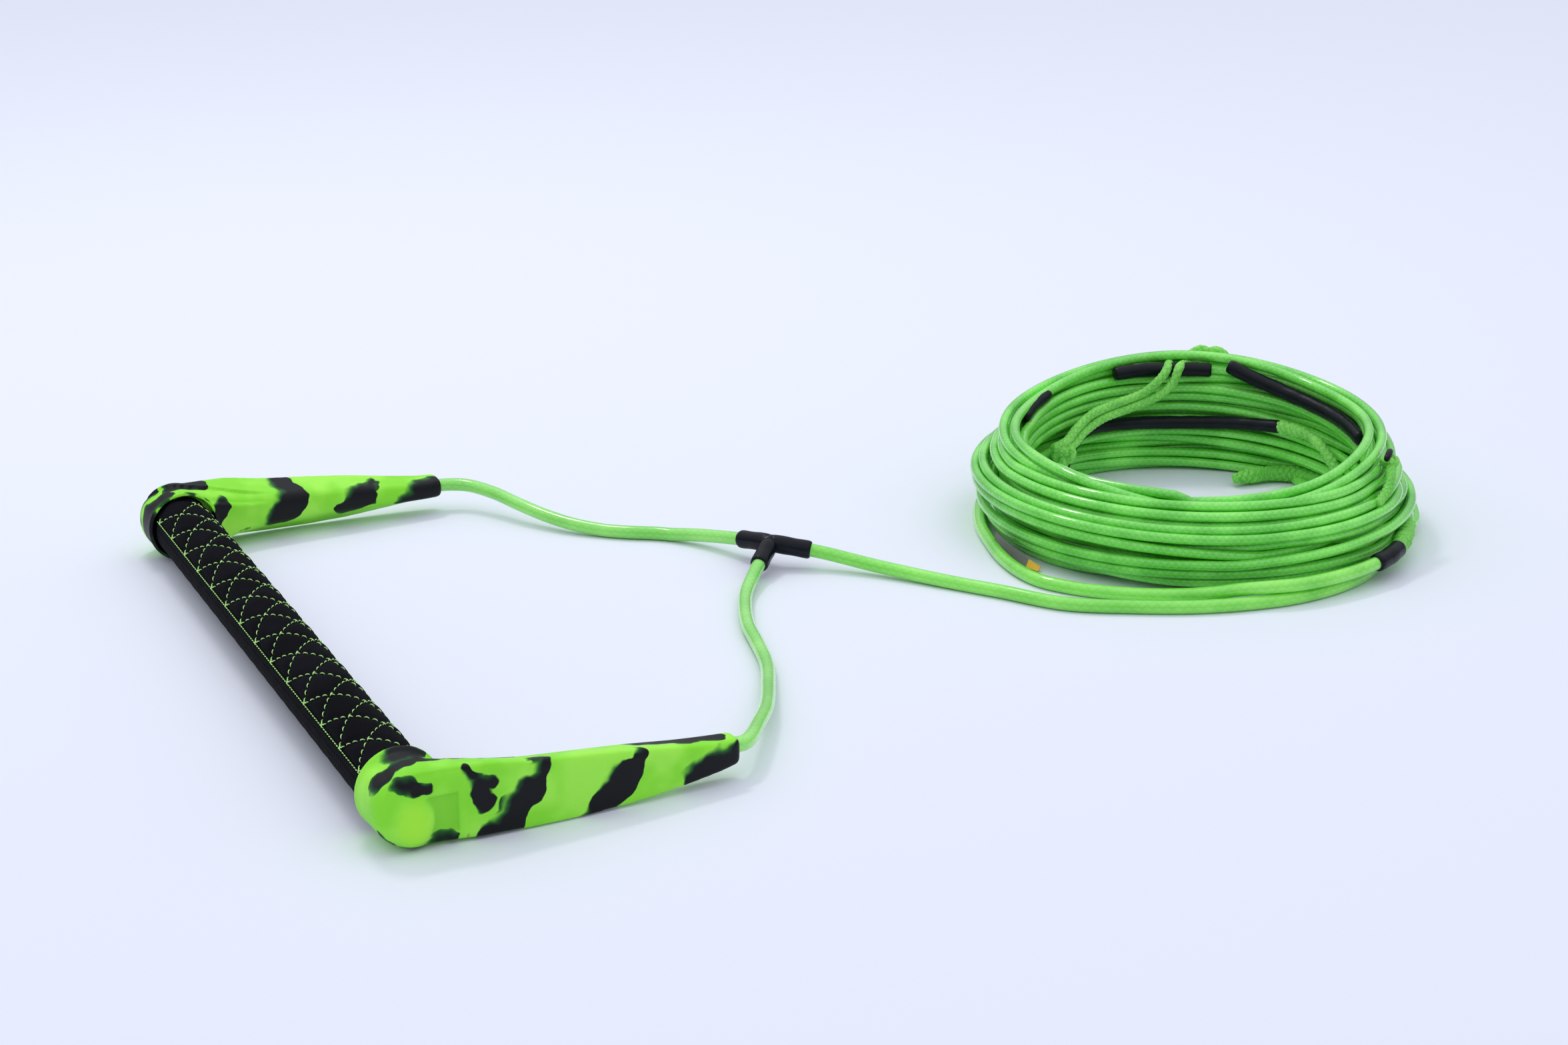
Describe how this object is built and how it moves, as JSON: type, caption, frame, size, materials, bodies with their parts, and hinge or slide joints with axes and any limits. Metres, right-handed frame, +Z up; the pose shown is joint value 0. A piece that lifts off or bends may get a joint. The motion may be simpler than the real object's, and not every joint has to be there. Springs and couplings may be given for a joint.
{
  "type": "wakeboard tow handle with line",
  "caption": "Padded tow bar with moulded arms, coated rope bridle and lead, and a loose coil of coated towing line with sleeves and knots.",
  "frame": {"origin": "bottom centre of the box of the handle itself, the bar with its two arms, on the surface it lies on", "axes": "+X from the bar along the arms towards the rope, +Y along the bar to the rider's left arm, +Z up"},
  "size_m": [0.5941, 0.3822, 0.065],
  "materials": {
    "tube": "drawn tube, satin",
    "foam": "closed-cell foam, matt",
    "suede": "quilted suede with light green stitching",
    "grip_rubber": "perforated, matt",
    "plug": "moulded",
    "silicone": "soft satin with dark camouflage patches",
    "coated_line": "glossy translucent coating over braid",
    "rope": "braided, dry",
    "shrink": "glossy shrink tube",
    "tag": "woven tag"
  },
  "bodies": {
    "bar_and_rope": {"bar_tube": "tube", "grip_foam": "foam", "quilted_panel": "suede", "perforated_panel": "grip_rubber", "bar_rope": "rope", "left_tube_plug": "plug", "right_tube_plug": "plug", "y_splice": "shrink", "left_bridle": "coated_line", "left_bridle_sleeve": "shrink", "right_bridle": "coated_line", "right_bridle_sleeve": "shrink", "lead_line": "coated_line", "lead_sleeve": "shrink", "lead_end_sleeve": "shrink", "lead_end_loop": "rope", "main_coil": "coated_line", "back_sleeve": "shrink", "rear_right_sleeve": "shrink", "rear_left_sleeve": "shrink", "side_sleeve": "shrink", "back_splice": "rope", "takeoff_loop": "rope", "takeoff_knot": "rope", "tail_end": "rope", "side_knot": "rope", "size_tag": "tag"},
    "left_arm": {"left_arm": "silicone", "left_arm_rope": "rope"},
    "right_arm": {"right_arm": "silicone", "right_arm_rope": "rope"}
  },
  "joints": [
    {"name": "left_arm_swing", "type": "hinge", "parent": "bar_and_rope", "child": "left_arm", "pos_m": [-0.0586, 0.17655, 0.01674], "axis": [0, 0, 1], "range_deg": [-4, 4], "stiffness_Nm_per_rad": 2, "deforming": ["left_bridle"]},
    {"name": "right_arm_swing", "type": "hinge", "parent": "bar_and_rope", "child": "right_arm", "pos_m": [-0.0586, -0.17845, 0.01674], "axis": [0, 0, 1], "range_deg": [-4, 4], "stiffness_Nm_per_rad": 2, "deforming": ["right_bridle"]}
  ]
}
